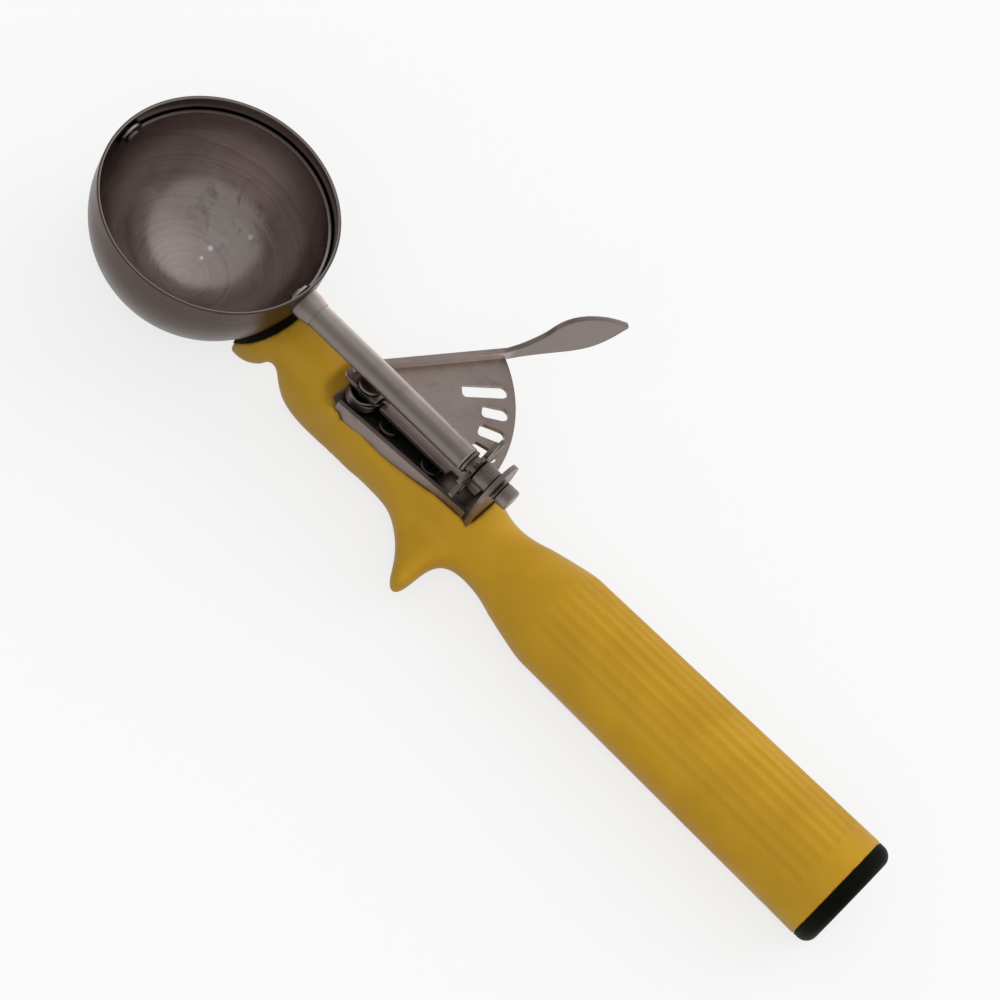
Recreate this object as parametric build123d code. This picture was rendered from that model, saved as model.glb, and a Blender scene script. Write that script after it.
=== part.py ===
from build123d import *
import os
from math import copysign, cos, pi, radians, sin, sqrt, tan

# Spring-return disher, millimetres.
# Origin: centre of the bowl's ball, on the axis of the sweep shaft.
# +X runs along the shaft to the butt, +Y is the thumb lever's side, +Z is up out of the bowl.

os.makedirs("parts", exist_ok=True)

# ---------------------------------------------------------------- clearances
seat_gap = 0.02          # between pieces of one body that sit on each other
run_gap = 0.06           # radial, between a pin or shaft and its bore
air_gap = 0.35           # between pieces that move past each other

# ---------------------------------------------------------------- bowl
bowl_inner_r = 26.2
bowl_wall = 0.7
rim_height = 4.9         # straight wall above the shaft axis
rim_round = 0.25
bowl_outer_r = bowl_inner_r + bowl_wall

# ---------------------------------------------------------------- blade
blade_gap = 0.4          # between the blade and the bowl
blade_wall = 0.6
blade_top_tilt = 3.0     # degrees, upper edge against the shaft axis plane
blade_low_tilt = -15.0   # degrees, lower edge
blade_low_drop = 3.2     # how far the lower edge passes below the pivots
blade_ear_r = 3.3
blade_outer_r = bowl_inner_r - blade_gap
blade_inner_r = blade_outer_r - blade_wall
rivet_head_t = 0.7
rivet_head_r = 1.9
far_pin_r = 1.1
far_head_t = 0.35

# ---------------------------------------------------------------- shaft line
shaft_r = 1.6
tenon_r = 1.1
sleeve_r = 2.9
sleeve_bore_r = 2.05
sleeve_len = 48.3
collar_r = 3.5
collar_len = 1.9
collar_cone = 2.4
front_bush_len = 8.0
rear_bush_len = 7.0
bush_flange_t = 0.5
washer_t = 0.6
hub_r = 2.8
hub_len = 4.3
spigot_r = 2.1
wheel_t = 1.1
wheel_setback = 1.25     # spigot showing in front of the wheel
wheel_teeth = 8
wheel_tip_r = 8.3
wheel_root_r = 4.5
tooth_base_r = 1.2
tooth_tip_r = 0.42
cross_pin_r = 0.6
tab_t = 1.1
tab_r = 6.1
end_washer_t = 0.4
nut_r = 2.55
nut_len = 3.2
nut_chamfer = 0.3

sleeve_end_x = bowl_outer_r + sleeve_len
bush_end_x = sleeve_end_x + bush_flange_t
washer_x = bush_end_x + air_gap
spigot_x = washer_x + washer_t
wheel_x = spigot_x + wheel_setback
hub_x = wheel_x + wheel_t
hub_end_x = hub_x + hub_len
tab_x = hub_end_x + air_gap
end_washer_x = tab_x + tab_t + air_gap
nut_x = end_washer_x + end_washer_t
nut_end_x = nut_x + nut_len
wheel_mid_x = wheel_x + wheel_t / 2

# ---------------------------------------------------------------- thumb lever
plate_t = 1.2
plate_top = -5.8
mesh_r = 29.4            # pivot to the wheel's middle
rack_pitch = 10.7        # degrees between slots
rack_slots = 5
slot_w = 3.1
slot_in_r = 25.1
slot_out_r = 31.2
first_slot_in_r = 20.7
slot_corner = 0.9
sector_r = 32.7
sector_edge_y = -2.3
flange_angle = 56.8      # degrees from +X
flange_off = 3.6         # inner face to the pivot
tail_corner = 1.6
lever_travel = 36.0      # degrees
leaf_round = 0.35
notch_half = 0.7
notch_deep = 2.6
flange_top = -(sleeve_r + air_gap)
plate_low = plate_top - plate_t
pivot_x = wheel_mid_x - mesh_r

# leaf of the thumb pad: distance along the flange line, height
pad_neck = sector_r - plate_t
leaf_low = [(pad_neck + 2.6, -6.4), (38.6, -5.8), (45.0, -5.6), (49.4, -5.3), (52.6, -4.3), (55.3, -2.2), (57.3, 0.4)]
leaf_tip = [(58.3, 2.1), (58.8, 3.2), (58.1, 4.1)]
leaf_high = [(55.1, 6.0), (51.7, 7.6), (48.3, 8.5), (45.1, 8.5), (42.7, 7.5), (41.0, 5.7), (39.5, 3.0),
             (37.6, 0.7), (35.2, -1.4)]

# ---------------------------------------------------------------- pivot stack
pin_r = 1.5
pin_head_r = 2.9
pin_head_t = 0.8
bush_r = 2.2
bush_head_r = 3.0
bush_head_t = 0.4
spacer_r = 2.4
rivet_washer_r = 2.9
rivet_washer_t = 0.5
rivet_end_t = 0.6

# ---------------------------------------------------------------- gear frame
frame_t = 1.2
frame_wall_t = 1.0
frame_top = -11.4        # upper face of the base
frame_wall_top = plate_low - air_gap
frame_front = pivot_x - 4.4
frame_wall_front = pivot_x - 2.2
frame_wall_y_front = 6.6
frame_wall_y_rear = 4.5
frame_corner = 2.0
wall_rear_gap = 0.9
anchor_dx = 10.95        # behind the pivot
anchor_len = 1.6
anchor_high = 1.7
frame_low = frame_top - frame_t
anchor_x = pivot_x + anchor_dx

# ---------------------------------------------------------------- return spring
wire_r = 0.4
coil_r = 3.8
coil_pitch = 0.86
coil_start = 90.0        # degrees, where the fixed leg joins
coil_end = 285.0         # degrees, where the moving leg leaves, three turns on
coil_full_turns = 3
coil_points = 12         # to a turn
leg_points = 5           # along the fixed leg
bend_r = 0.75
hook_lift = 0.22         # of the hook above the plate
hook_dx = 4.4            # behind the pivot, to the notch in the lever
hook_y = -0.6
hook_over = 1.5          # how far the hook lies on the plate

# ---------------------------------------------------------------- screws
screw_r = 1.4
screw_head_r = 2.5
screw_head_t = 1.5
screw_len = 9.5
screw_dxs = (8.55, 20.95)   # behind the pivot
screw_y = -1.0
slot_depth = 0.7
slot_width = 0.7
screw_xs = [pivot_x + dx for dx in screw_dxs]

# ---------------------------------------------------------------- tang
tang_w = 9.0
tang_t = 1.5
tang_dx = 13.95          # behind the pivot
weld_t = 0.9
weld_half_w = 5.0
weld_low = -17.6
weld_high = -9.8
tang_gap = 0.05
tang_end = pivot_x + tang_dx

# ---------------------------------------------------------------- pad and handle
pad_wall = 1.6
axis_z = -20.8           # centre line of bar and grip
deck_z = -8.0
shoulder_z = -7.4        # top of the bar beside the wheel
saddle_len = 6.7         # how far the saddle laps the bowl
section_points = 16
bar_sections = 60
neck_dx = 8.35           # behind the frame's tab
neck_r = 8.3
bar_deep = 7.7           # bar's underside below the centre line
flare_len = 21.0         # from the neck to the grip
grip_len = 81.2
grip_r = 12.3
butt_r = 13.45
bore_lead = 4.0          # grip's solid end before the hollow
bore_r = 9.8
bore_end_r = 11.2
plug_len = 11.0
cap_t = 4.05
cap_round = 2.8
cap_wall = 2.0
cap_inset = 0.1
pocket_dx = 2.45         # recess in front of the frame
pocket_drop = 0.9        # recess floor below the frame's base
flute_count = 9
flute_pitch = 13.0       # degrees
flute_r = 1.9
flute_depth = 0.45
flute_lead = 7.0         # ahead of the grip's start
flute_stop = 7.2         # short of the butt
hook_half_t = 4.2
hook_edge = 1.6

saddle_x = bowl_outer_r - saddle_len
neck_x = tab_x + neck_dx
grip_x = neck_x + flare_len
butt_x = grip_x + grip_len
bore_x = grip_x + bore_lead
pocket_x = frame_front - pocket_dx
flute_front = grip_x - flute_lead
flute_rear = butt_x - flute_stop

# finger hook in plan: distance from the neck ring, Y
hook_front = [(-28.5, -5.6), (-24.4, -8.2), (-20.6, -10.7), (-16.8, -13.9), (-13.2, -18.8), (-11.4, -22.2)]
hook_tip = [(-10.9, -23.2), (-9.1, -24.0), (-7.4, -22.8)]
hook_rear = [(-7.15, -20.0), (-7.2, -16.0), (-6.7, -12.6), (-5.3, -9.8), (-3.0, -7.9), (0.0, -7.0)]


# ---------------------------------------------------------------- helpers
def rod(x0, x1, r):
    """Round bar along the shaft axis from x0 to x1."""
    return Pos((x0 + x1) / 2, 0, 0) * Rot(0, 90, 0) * Cylinder(r, x1 - x0)


def post(x, y, z0, z1, r):
    """Upright round bar."""
    return Pos(x, y, (z0 + z1) / 2) * Cylinder(r, z1 - z0)


def block(x0, x1, y0, y1, z0, z1):
    """Box between two corners."""
    centre = Pos((x0 + x1) / 2, (y0 + y1) / 2, (z0 + z1) / 2)
    return centre * Box(x1 - x0, y1 - y0, z1 - z0)


def along(x0, x1, yz_points):
    """Prism along X with the given outline in Y and Z."""
    outline = Polyline(*[(x0, y, z) for y, z in yz_points], close=True)
    return extrude(make_face(outline), amount=x1 - x0, dir=(1, 0, 0))


def shell(r_out, r_in):
    """Ball shell round the origin."""
    return Sphere(r_out) - Sphere(r_in)


def flange_point(s, off):
    """Point on a line beside the flange: s along it, off from the pivot."""
    a = radians(flange_angle)
    x = pivot_x + s * cos(a) - off * sin(a)
    y = s * sin(a) + off * cos(a)
    return x, y


# ---------------------------------------------------------------- bowl group
def bowl_solid(r, top):
    """Half ball with a straight wall above it."""
    below = (Align.CENTER, Align.CENTER, Align.MAX)
    above = (Align.CENTER, Align.CENTER, Align.MIN)
    return Sphere(r, arc_size1=-90, arc_size2=0, align=below) + Cylinder(r, top, align=above)


def make_bowl():
    cup = bowl_solid(bowl_outer_r, rim_height) - bowl_solid(bowl_inner_r, 2 * rim_height)
    rim = cup.edges().filter_by(GeomType.CIRCLE).group_by(Axis.Z)[-1]
    cup = fillet(rim, rim_round)
    cup -= rod(0, bowl_outer_r + bowl_wall, shaft_r + run_gap)
    cup -= rod(-bowl_outer_r - bowl_wall, 0, far_pin_r + seat_gap)
    return cup


def make_blade():
    span = 2 * bowl_inner_r
    top_y = bowl_outer_r * cos(radians(blade_top_tilt))
    top_z = bowl_outer_r * sin(radians(blade_top_tilt))
    low_z = -blade_low_drop + bowl_outer_r * tan(radians(blade_low_tilt))
    band = along(-span / 2, span / 2, [(0, 0), (top_y, top_z), (bowl_outer_r, low_z), (0, -blade_low_drop)])
    blade = shell(blade_outer_r, blade_inner_r) & (band + rod(-span / 2, span / 2, blade_ear_r))
    blade -= rod(0, span / 2, tenon_r + seat_gap)
    blade -= rod(-span / 2, 0, far_pin_r + run_gap)
    return blade


def make_far_pin():
    head_x = -(bowl_outer_r + seat_gap)
    inner_x = -(blade_inner_r - air_gap)
    pin = rod(head_x, inner_x + rivet_head_t, far_pin_r)
    pin += rod(head_x - far_head_t, head_x, rivet_head_r)
    pin += rod(inner_x, inner_x + rivet_head_t, rivet_head_r)
    return pin


def make_drive_shaft():
    head_x = sqrt(blade_inner_r**2 - rivet_head_r**2) - seat_gap
    shaft = rod(blade_outer_r + seat_gap, nut_x, shaft_r)
    shaft += rod(head_x - rivet_head_t, nut_end_x, tenon_r)
    shaft += rod(head_x - rivet_head_t, head_x, rivet_head_r)
    shaft -= post(hub_x + hub_len / 2, 0, -hub_r, hub_r, cross_pin_r + seat_gap)
    return shaft


def make_collar():
    root_x = bowl_outer_r - 1
    cone_x = bowl_outer_r + collar_len
    collar = rod(root_x, cone_x, collar_r)
    cone = Cone(collar_r, sleeve_r + bowl_wall / 4, collar_cone)
    collar += Pos(cone_x + collar_cone / 2, 0, 0) * Rot(0, 90, 0) * cone
    collar -= rod(root_x, cone_x + collar_cone, sleeve_r + seat_gap)
    return collar - bowl_solid(bowl_outer_r + seat_gap, rim_height)


def make_sleeve():
    sleeve = rod(bowl_outer_r - 1, sleeve_end_x, sleeve_r)
    sleeve -= rod(0, sleeve_end_x, sleeve_bore_r)
    return sleeve - bowl_solid(bowl_outer_r + seat_gap, rim_height)


def make_front_bush():
    bush_x = bowl_outer_r + air_gap
    bush = rod(bush_x, bush_x + front_bush_len, sleeve_bore_r - seat_gap)
    return bush - rod(bush_x, bush_x + front_bush_len, shaft_r + run_gap)


def make_rear_bush():
    bush = rod(sleeve_end_x - rear_bush_len, bush_end_x, sleeve_bore_r - seat_gap)
    bush += rod(sleeve_end_x + seat_gap, bush_end_x, sleeve_r)
    return bush - rod(sleeve_end_x - rear_bush_len, bush_end_x, shaft_r + run_gap)


# ---------------------------------------------------------------- wheel group
def make_star_wheel():
    disc = Circle(wheel_root_r)
    tip_at = wheel_tip_r - tooth_tip_r
    for i in range(wheel_teeth):
        turn = (i + 0.5) * 360 / wheel_teeth
        tooth = Pos(wheel_root_r, 0) * Circle(tooth_base_r) + Pos(tip_at, 0) * Circle(tooth_tip_r)
        lean = radians(90) - (tooth_base_r - tooth_tip_r) / (tip_at - wheel_root_r)
        flank = [
            (wheel_root_r + tooth_base_r * cos(lean), tooth_base_r * sin(lean)),
            (tip_at + tooth_tip_r * cos(lean), tooth_tip_r * sin(lean)),
        ]
        web = flank + [(x, -y) for x, y in reversed(flank)]
        tooth += make_face(Polyline(*web, close=True))
        disc += Rot(0, 0, turn) * tooth
    disc -= Circle(spigot_r + seat_gap)
    return Pos(wheel_x, 0, 0) * Rot(0, 90, 0) * extrude(disc, wheel_t)


def make_hub():
    hub = rod(spigot_x + seat_gap, hub_x + seat_gap, spigot_r)
    hub += chamfer(rod(hub_x + seat_gap, hub_end_x, hub_r).edges(), nut_chamfer)
    hub -= rod(spigot_x, hub_end_x, shaft_r + seat_gap)
    return hub - post(hub_x + hub_len / 2, 0, -hub_r, hub_r, cross_pin_r + seat_gap)


def make_wheel_pin():
    return post(hub_x + hub_len / 2, 0, -hub_r, hub_r, cross_pin_r)


def make_washer(x, thick, r):
    return rod(x, x + thick, r) - rod(x, x + thick, shaft_r + seat_gap)


def make_nut():
    nut = chamfer(rod(nut_x + seat_gap, nut_end_x, nut_r).edges(), nut_chamfer)
    return nut - rod(nut_x, nut_end_x, tenon_r + seat_gap)


# ---------------------------------------------------------------- lever group
def rack_window(angle, r_in, r_out):
    """Slot along a radius of the pivot, round at its outer end."""
    square_end = r_out - slot_w / 2
    window = Pos((r_in + square_end) / 2, 0) * Rectangle(square_end - r_in, slot_w)
    window = fillet(window.vertices().group_by(Axis.X)[0], slot_corner)
    window += Pos(square_end, 0) * Circle(slot_w / 2)
    return Rot(0, 0, angle) * window


def tail_along():
    """Where the flange line meets the plate's lower edge."""
    a = radians(flange_angle)
    return (sector_edge_y - (flange_off + plate_t) * cos(a)) / sin(a)


def lever_plate():
    outer_off = flange_off + plate_t
    reach = sqrt(sector_r**2 - outer_off**2)
    top_x, top_y = flange_point(reach, outer_off)
    tail_x, tail_y = flange_point(tail_along(), outer_off)
    low_x = sqrt(sector_r**2 - sector_edge_y**2)
    mid = radians(flange_angle / 2)
    mid_point = (pivot_x + sector_r * cos(mid), sector_r * sin(mid))
    edge = Polyline((pivot_x + low_x, sector_edge_y), (tail_x, tail_y), (top_x, top_y))
    arc = ThreePointArc((top_x, top_y), mid_point, (pivot_x + low_x, sector_edge_y))
    face = make_face(edge + arc)
    corner = face.vertices().sort_by(Axis.X)[0]
    face = fillet(corner, tail_corner)
    slots = Sketch()
    for i in range(rack_slots):
        r_in = first_slot_in_r if i == rack_slots - 1 else slot_in_r
        slots += rack_window(rack_pitch * (i + 0.5), r_in, slot_out_r)
    slots += rack_window(-rack_pitch / 2, slot_in_r, sector_r + 2 * slot_w)
    notch_end = sector_edge_y + notch_deep - notch_half
    slots += Pos(hook_dx, sector_edge_y) * Rectangle(2 * notch_half, 2 * (notch_end - sector_edge_y))
    slots += Pos(hook_dx, notch_end) * Circle(notch_half)
    face -= Pos(pivot_x, 0) * slots
    face -= Pos(pivot_x, 0) * Circle(bush_r + seat_gap)
    return Pos(0, 0, plate_low) * extrude(face, plate_t)


def leaf_outline():
    """Flange and thumb pad as one flat outline."""
    half_tail = radians(flange_angle) / 2
    start = tail_along() + tail_corner / tan(half_tail)
    low = Spline((pad_neck, plate_low), *leaf_low, leaf_tip[0])
    tip = ThreePointArc(*leaf_tip)
    high = Spline(leaf_tip[-1], *leaf_high, (pad_neck, flange_top))
    back = Polyline((pad_neck, flange_top), (start, flange_top), (start, plate_low), (pad_neck, plate_low))
    return make_face(Wire(low.edges() + tip.edges() + high.edges() + back.edges()))


def make_thumb_lever():
    leaf = Pos(0, plate_t, 0) * extrude(Plane.XZ * leaf_outline(), plate_t)
    rims = [e for e in leaf.edges().filter_by(Axis.Y, reverse=True) if e.center().X > pad_neck]
    leaf = fillet(rims, leaf_round)
    start_x, start_y = flange_point(0, flange_off)
    return lever_plate() + Pos(start_x, start_y, 0) * Rot(0, 0, flange_angle) * leaf


def make_lever_bush():
    bush = post(pivot_x, 0, plate_low, plate_top + bush_head_t, bush_r)
    bush += post(pivot_x, 0, plate_top + seat_gap, plate_top + bush_head_t, bush_head_r)
    return bush - post(pivot_x, 0, plate_low, plate_top + bush_head_t, pin_r + run_gap)


def make_pivot_pin():
    head_z = plate_top + bush_head_t + air_gap
    foot_z = frame_low - rivet_washer_t
    low_z = foot_z - rivet_end_t
    head = post(pivot_x, 0, head_z, head_z + pin_head_t, pin_head_r)
    head = fillet(head.edges().group_by(Axis.Z)[-1], pin_head_t / 2)
    foot = post(pivot_x, 0, low_z, foot_z - seat_gap, bush_r)
    foot = fillet(foot.edges().group_by(Axis.Z)[0], rivet_end_t / 2)
    return post(pivot_x, 0, low_z, head_z, pin_r) + head + foot


def make_spacer():
    top = plate_low - air_gap
    tube = post(pivot_x, 0, frame_top + seat_gap, top, spacer_r)
    return tube - post(pivot_x, 0, frame_top, top, pin_r + seat_gap)


def make_rivet_washer():
    low = frame_low - rivet_washer_t
    ring = post(pivot_x, 0, low, frame_low - seat_gap, rivet_washer_r)
    return ring - post(pivot_x, 0, low, frame_low, pin_r + seat_gap)


def spring_points():
    """Middle of the wire: fixed leg, coil, then the leg that hooks over the plate."""
    base_z = frame_top + wire_r + run_gap
    over_z = plate_top + wire_r + hook_lift
    turns = coil_full_turns + (coil_end - coil_start) / 360
    steps = round(turns * coil_points)
    top_z = base_z + coil_pitch * turns
    leg = anchor_x + anchor_len / 2 - pivot_x
    points = [(pivot_x + leg * i / leg_points, coil_r, base_z) for i in range(leg_points, 0, -1)]
    for i in range(steps + 1):
        a = radians(coil_start + 360 * turns * i / steps)
        points.append((pivot_x + coil_r * cos(a), coil_r * sin(a), base_z + coil_pitch * turns * i / steps))
    hook_x = pivot_x + hook_dx
    points += [
        (hook_x - 2 * bend_r, hook_y - 1.6 * bend_r, top_z), (hook_x - bend_r, hook_y - 0.7 * bend_r, top_z),
        (hook_x, hook_y, top_z + bend_r), (hook_x, hook_y, (top_z + over_z) / 2), (hook_x, hook_y, over_z - bend_r),
        (hook_x + bend_r, hook_y, over_z), (hook_x + hook_over, hook_y, over_z),
    ]
    return points


def make_spring():
    path = Spline(*spring_points())
    return sweep(Plane(origin=path @ 0, z_dir=path % 0) * Circle(wire_r), path=path)


# ---------------------------------------------------------------- frame
def make_gear_frame():
    rear = tab_x + tab_t
    outer_front = frame_wall_y_front + frame_wall_t
    outer_rear = frame_wall_y_rear + frame_wall_t
    outline = [
        (frame_front, -outer_front), (frame_wall_front, -outer_front), (tab_x - wall_rear_gap, -outer_rear),
        (rear, -outer_rear), (rear, outer_rear), (tab_x - wall_rear_gap, outer_rear),
        (frame_wall_front, outer_front), (frame_front, outer_front),
    ]
    face = make_face(Polyline(*outline, close=True))
    face = fillet(face.vertices().group_by(Axis.X)[0], frame_corner)
    frame = Pos(0, 0, frame_low) * extrude(face, frame_t)
    for side in (-1, 1):
        wall = [
            (frame_wall_front, side * frame_wall_y_front), (tab_x - wall_rear_gap, side * frame_wall_y_rear),
            (tab_x - wall_rear_gap, side * outer_rear), (frame_wall_front, side * outer_front),
        ]
        side_wall = extrude(make_face(Polyline(*wall, close=True)), frame_wall_top - frame_low)
        frame += Pos(0, 0, frame_low) * side_wall
    tab = Pos(tab_x, 0, 0) * Rot(0, 90, 0) * extrude(Circle(tab_r), tab_t)
    tab += along(tab_x, rear, [(-outer_rear, frame_low), (-tab_r, 0), (tab_r, 0), (outer_rear, frame_low)])
    frame += tab
    anchor_y = coil_r + wire_r + seat_gap
    frame += block(anchor_x, anchor_x + anchor_len, anchor_y, anchor_y + frame_t, frame_top, frame_top + anchor_high)
    frame -= rod(tab_x - tab_t, rear + tab_t, shaft_r + run_gap)
    frame -= post(pivot_x, 0, frame_low, frame_top, pin_r + seat_gap)
    for x in screw_xs:
        frame -= post(x, screw_y, frame_low, frame_top, screw_r + seat_gap)
    return frame


def make_screws():
    screws = []
    for x in screw_xs:
        head = post(x, screw_y, frame_top + seat_gap, frame_top + screw_head_t, screw_head_r)
        head = fillet(head.edges().group_by(Axis.Z)[-1], screw_head_t / 3)
        screw = head + post(x, screw_y, frame_top - screw_len, frame_top + screw_head_t / 2, screw_r)
        top = frame_top + screw_head_t
        for wide, deep in ((2 * screw_r, slot_width), (slot_width, 2 * screw_r)):
            screw -= Pos(x, screw_y, top) * Box(wide, deep, 2 * slot_depth)
        screws.append(screw)
    return Compound(children=screws)


def make_tang():
    top = frame_low - seat_gap
    strip = block(bowl_outer_r / 2, tang_end, -tang_w / 2, tang_w / 2, top - tang_t, top)
    strip = fillet(strip.edges().filter_by(Axis.Z).group_by(Axis.X)[-1], tang_w / 3)
    strip -= Sphere(bowl_outer_r + weld_t / 2)
    patch = shell(bowl_outer_r + seat_gap + weld_t, bowl_outer_r + seat_gap)
    patch &= block(bowl_outer_r / 2, bowl_outer_r * 2, -weld_half_w, weld_half_w, weld_low, weld_high)
    tang = strip + patch
    tang -= post(pivot_x, 0, top - tang_t, top, rivet_washer_r + air_gap)
    tang -= post(screw_xs[0], screw_y, top - tang_t, top, screw_r + seat_gap)
    return tang


# ---------------------------------------------------------------- handle
def bar_section(x, half_w, z_top, z_low, squareness):
    """Closed rounded section across the handle: a superellipse."""
    mid = (z_top + z_low) / 2
    half_h = (z_top - z_low) / 2
    points = []
    for i in range(section_points):
        t = 2 * pi * i / section_points
        y = half_w * copysign(abs(cos(t)) ** (2 / squareness), cos(t))
        z = mid + half_h * copysign(abs(sin(t)) ** (2 / squareness), sin(t))
        points.append((x, y, z))
    even = [i / section_points for i in range(section_points + 1)]
    return make_face(Edge.make_spline(points, periodic=True, parameters=even))


def bar_rows():
    """Bar at its changes of shape: x, half width, top, underside, squareness."""
    b = bowl_outer_r
    low = axis_z - bar_deep
    return [
        (saddle_x, 8.5, deck_z, -25.9, 2.6),
        (b - 4.4, 8.6, deck_z, -25.7, 2.6),
        (b - 2.7, 8.5, deck_z, -24.9, 2.65),
        (b - 1.2, 8.3, deck_z, -23.6, 2.7),
        (b + 0.6, 7.9, deck_z, -21.1, 2.8),
        (b + 2.4, 7.5, deck_z, -17.7, 2.9),
        (b + 4.0, 7.5, deck_z, -18.3, 2.9),
        (b + 5.6, 7.7, deck_z, -21.2, 2.8),
        (b + 7.3, 8.0, deck_z, -24.2, 2.7),
        (b + 9.4, 8.3, deck_z, -26.5, 2.6),
        (b + 12.2, 8.5, deck_z, low + 0.6, 2.55),
        (b + 16.4, 8.7, deck_z, low, 2.5),
        (pivot_x + 9.0, 8.7, deck_z, low + 0.3, 2.5),
        (tab_x - 17.0, 8.7, deck_z, low + 0.1, 2.6),
        (tab_x - 9.0, 8.7, shoulder_z, low - 0.1, 2.9),
        (tab_x - 2.0, 8.6, shoulder_z, low - 0.2, 2.9),
        (tab_x + 1.2, 8.45, shoulder_z - 1.5, low - 0.35, 2.7),
        (tab_x + 4.4, 8.35, axis_z + neck_r + 0.9, axis_z - neck_r, 2.25),
        (neck_x, neck_r, axis_z + neck_r, axis_z - neck_r, 2),
    ]


def eased(rows, column, x):
    """One column of the rows at x, smooth and without overshoot."""
    steps = [(b[column] - a[column]) / (b[0] - a[0]) for a, b in zip(rows, rows[1:])]
    slopes = [steps[0]]
    for a, b in zip(steps, steps[1:]):
        slopes.append(2 * a * b / (a + b) if a * b > 0 else 0)
    slopes.append(steps[-1])
    i = sum(row[0] <= x for row in rows[1:-1])
    span = rows[i + 1][0] - rows[i][0]
    t = (x - rows[i][0]) / span
    start = rows[i][column] * (1 + 2 * t) + span * slopes[i] * t
    end = rows[i + 1][column] * (3 - 2 * t) + span * slopes[i + 1] * (t - 1)
    return start * (1 - t) ** 2 + end * t**2


def bar_form():
    """Saddle, waist and bar, as far as the round neck."""
    rows = bar_rows()
    sections = []
    for i in range(bar_sections):
        x = saddle_x + (neck_x - saddle_x) * i / bar_sections
        sections.append(bar_section(x, *[eased(rows, column, x) for column in range(1, len(rows[0]))]))
    neck_ring = Plane.YZ.offset(neck_x) * Pos(0, axis_z) * Circle(neck_r)
    return loft(sections + [make_face(neck_ring.wire())])


def grip_form():
    """Neck and grip, turned round the centre line."""
    flare = [(6.0, 9.25), (12.0, 10.7), (17.0, 11.8)]
    ring = (neck_x, neck_r)
    shoulder = (grip_x, grip_r)
    flank = Spline(ring, *[(neck_x + dx, r) for dx, r in flare], shoulder, tangents=[(1, 0.05), (1, 0.03)])
    side = Line(shoulder, (butt_x, butt_r))
    close = Polyline((butt_x, butt_r), (butt_x, 0), (neck_x, 0), ring)
    profile = make_face(flank + side + close)
    return Pos(0, 0, axis_z) * revolve(Plane.XZ * profile, Axis.X)


def hook_form():
    """Finger hook, flat in plan, with rounded edges."""
    front = Spline(*hook_front, hook_tip[0])
    tip = ThreePointArc(*hook_tip)
    rear = Spline(hook_tip[-1], *hook_rear)
    (first_x, first_y), (last_x, last_y) = hook_front[0], hook_rear[-1]
    root_y = -neck_r / 4
    back = Polyline((last_x, last_y), (last_x, root_y), (first_x, root_y), (first_x, first_y))
    plan = make_face(Wire(front.edges() + tip.edges() + rear.edges() + back.edges()))
    hook = Pos(neck_x, 0, axis_z - hook_half_t) * extrude(plan, 2 * hook_half_t)
    rim = [e for e in hook.edges().filter_by(Axis.Z, reverse=True) if e.center().Y < last_y]
    return fillet(rim, hook_edge)


def flute_cutters():
    """Round-bottomed grooves on the upper and lower faces of the grip."""
    cutters = []
    slope = (butt_r - grip_r) / (butt_x - grip_x)
    length = flute_rear - flute_front
    start_r = grip_r - slope * (grip_x - flute_front)
    for face in (90, 270):
        for i in range(flute_count):
            angle = face + (i - (flute_count - 1) / 2) * flute_pitch
            groove = Cylinder(flute_r, length) + Pos(0, 0, -length / 2) * Sphere(flute_r)
            groove += Pos(0, 0, length / 2) * Sphere(flute_r)
            tilt = Rot(0, 90 - slope * 180 / pi, 0)
            mid_r = start_r + slope * length / 2 + flute_r - flute_depth
            placed = Pos((flute_front + flute_rear) / 2, 0, mid_r) * tilt * groove
            cutters.append(Pos(0, 0, axis_z) * Rot(angle - 90, 0, 0) * placed)
    return cutters


def grip_bore():
    """Hollow of the grip, with a straight seat for the plug at its end."""
    taper_end = butt_x - plug_len
    bore = Polyline((bore_x, 0), (bore_x, bore_r), (taper_end, bore_end_r), (butt_x, bore_end_r), (butt_x, 0),
                    close=True)
    return Pos(0, 0, axis_z) * revolve(Plane.XZ * make_face(bore), Axis.X)


def deck_cut():
    """Recess for the gear frame, with the bar's shoulders rising beside it."""
    floor = frame_low - pocket_drop
    wide = 2 * butt_r
    high = 2 * abs(deck_z)
    profile = Polyline(
        (pocket_x - 0.8, high), (pocket_x - 0.8, deck_z), (pocket_x + 1.2, floor + 0.8), (frame_front, frame_low),
        (pivot_x, frame_low + 0.7), (pivot_x + 8.5, frame_low + 1.6), (pivot_x + 16.5, frame_low + 2.7),
        (pivot_x + 22.0, frame_low + 3.7), (tab_x - 9.0, frame_low + 4.5), (tab_x - 4.0, shoulder_z - 0.3),
        (tab_x, shoulder_z), (tab_x, high), close=True,
    )
    shoulders = extrude(Plane.XZ * make_face(profile), wide / 2, both=True)
    room_front = frame_wall_y_front + frame_wall_t + seat_gap
    room_rear = frame_wall_y_rear + frame_wall_t + seat_gap
    seat = [
        (pocket_x, -room_front), (frame_wall_front, -room_front), (tab_x - wall_rear_gap, -room_rear),
        (tab_x - seat_gap, -room_rear), (tab_x - seat_gap, -tab_r - seat_gap),
        (tab_x + tab_t + seat_gap, -tab_r - seat_gap),
    ]
    seat += [(x, -y) for x, y in reversed(seat)]
    recess = Pos(0, 0, frame_low - seat_gap) * extrude(make_face(Polyline(*seat, close=True)), high)
    return shoulders, recess


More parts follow.
